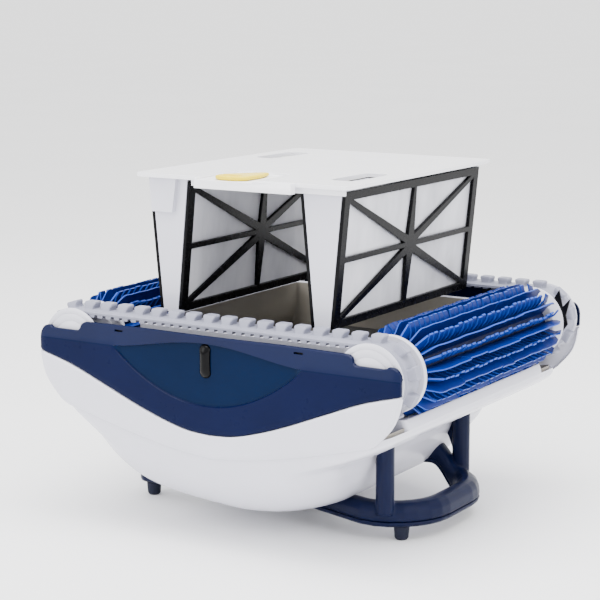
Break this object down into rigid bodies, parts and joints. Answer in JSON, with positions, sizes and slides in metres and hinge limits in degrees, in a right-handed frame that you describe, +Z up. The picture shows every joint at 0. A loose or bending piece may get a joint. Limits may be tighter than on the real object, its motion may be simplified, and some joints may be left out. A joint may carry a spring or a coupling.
{
  "type": "pool cleaner",
  "caption": "Robotic pool cleaner stood upside-down on its handle, with brushed rollers, side tracks, a white tub and its two-cartridge filter basket lifted out.",
  "frame": {"origin": "centre of the footprint of the whole cleaner, on the floor that its four feet stand on", "axes": "+Z up as it stands for service (upside-down against its working pose), +X along its travel towards the carrying handle's loop, +Y along the brush rollers"},
  "size_m": [0.437, 0.4176, 0.3654],
  "materials": {
    "white_shell": "glossy injection-moulded white",
    "white_skirt": "glossy white",
    "blue_panel": "satin dark blue with a glossier recess",
    "blue_handle": "satin dark blue",
    "brush_rubber": "matt blue moulded fins",
    "brush_core": "matt blue core",
    "wheel_grey": "satin pale grey",
    "track_grey": "matt pale grey",
    "black_plastic": "satin black",
    "plug_black": "gloss black",
    "filter_frame": "matt black",
    "filter_cloth": "fine pale mesh",
    "cartridge_white": "glossy white",
    "lid_white": "glossy white",
    "latch_yellow": "satin yellow",
    "case_grey": "satin grey",
    "steel": "turned steel",
    "motor_metal": "satin metal can",
    "board_green": "matt board",
    "foot_rubber": "matt dark blue"
  },
  "bodies": {
    "hull": {"control_board": "board_green", "drive_motor": "motor_metal", "foot_front_left": "foot_rubber", "foot_front_right": "foot_rubber", "foot_rear_left": "foot_rubber", "foot_rear_right": "foot_rubber", "front_axle_pin_left": "steel", "front_axle_pin_right": "steel", "handle_strip": "blue_handle", "handle_tube": "blue_handle", "hull_shell": "white_shell", "impeller_duct": "case_grey", "motor_unit_case": "case_grey", "motor_unit_cover": "black_plastic", "outlet_grille": "white_shell", "pump_motor": "motor_metal", "rear_axle_pin_left": "steel", "rear_axle_pin_right": "steel", "rear_rail_left": "blue_handle", "rear_rail_right": "blue_handle", "shaft_bush_left": "black_plastic", "shaft_bush_right": "black_plastic", "side_panel_left": "blue_panel", "side_panel_right": "blue_panel", "side_plug_left": "plug_black", "side_plug_right": "plug_black", "side_skirt_left": "white_skirt", "side_skirt_right": "white_skirt", "track_left": "track_grey", "track_right": "track_grey"},
    "front_axle": {"front_brush_core": "brush_core", "front_brush_blades": "brush_rubber", "front_wheel_left": "wheel_grey", "front_wheel_right": "wheel_grey", "front_claw_ring": "black_plastic"},
    "rear_axle": {"rear_brush_core": "brush_core", "rear_brush_blades": "brush_rubber", "rear_wheel_left": "wheel_grey", "rear_wheel_right": "wheel_grey"},
    "drive_axle": {"drive_shaft": "steel", "drive_pulley_left": "wheel_grey", "drive_pulley_right": "wheel_grey"},
    "pump_rotor": {"impeller": "black_plastic", "impeller_shaft": "steel"},
    "cable_swivel": {"swivel_gland": "black_plastic"},
    "filter_basket": {"lid_plate": "lid_white", "cartridge_front": "cartridge_white", "cartridge_rear": "cartridge_white", "filter_frame_front_inner": "filter_frame", "filter_frame_front_outer": "filter_frame", "filter_frame_rear_inner": "filter_frame", "filter_frame_rear_outer": "filter_frame", "filter_cloth_front_inner": "filter_cloth", "filter_cloth_front_outer": "filter_cloth", "filter_cloth_rear_inner": "filter_cloth", "filter_cloth_rear_outer": "filter_cloth"},
    "lid_latch": {"lid_latch": "latch_yellow"},
    "inlet_flap_front": {"inlet_flap_front": "white_skirt"},
    "inlet_flap_rear": {"inlet_flap_rear": "white_skirt"}
  },
  "joints": [
    {"name": "front_axle_spin", "type": "hinge", "parent": "hull", "child": "front_axle", "pos_m": [0.173, 0, 0.19], "axis": [0, 1, 0], "continuous": true},
    {"name": "rear_axle_spin", "type": "hinge", "parent": "hull", "child": "rear_axle", "pos_m": [-0.173, 0, 0.19], "axis": [0, 1, 0], "continuous": true},
    {"name": "drive_shaft_spin", "type": "hinge", "parent": "hull", "child": "drive_axle", "pos_m": [0, 0, 0.137], "axis": [0, 1, 0], "continuous": true},
    {"name": "pump_spin", "type": "hinge", "parent": "hull", "child": "pump_rotor", "pos_m": [0, 0, 0.04], "axis": [0, 0, 1], "continuous": true},
    {"name": "cable_swivel_turn", "type": "hinge", "parent": "hull", "child": "cable_swivel", "pos_m": [-0.086, 0, 0.013], "axis": [0, 0, 1], "continuous": true},
    {"name": "filter_basket_lift", "type": "slide", "parent": "hull", "child": "filter_basket", "axis": [0, 0, 1], "range_m": [-0.149, 0.06]},
    {"name": "lid_latch_slide", "type": "slide", "parent": "filter_basket", "child": "lid_latch", "axis": [0, -1, 0], "range_m": [0, 0.008]},
    {"name": "inlet_flap_front_swing", "type": "hinge", "parent": "filter_basket", "child": "inlet_flap_front", "pos_m": [0.0825, -0.075, 0.3574], "axis": [0, 1, 0], "range_deg": [-84, 0]},
    {"name": "inlet_flap_rear_swing", "type": "hinge", "parent": "filter_basket", "child": "inlet_flap_rear", "pos_m": [-0.0825, 0.075, 0.3574], "axis": [0, 1, 0], "range_deg": [0, 84]}
  ],
  "couplings": [
    {"joint": "rear_axle_spin", "follows": "front_axle_spin", "ratio": 1},
    {"joint": "drive_shaft_spin", "follows": "front_axle_spin", "ratio": 1.25}
  ]
}
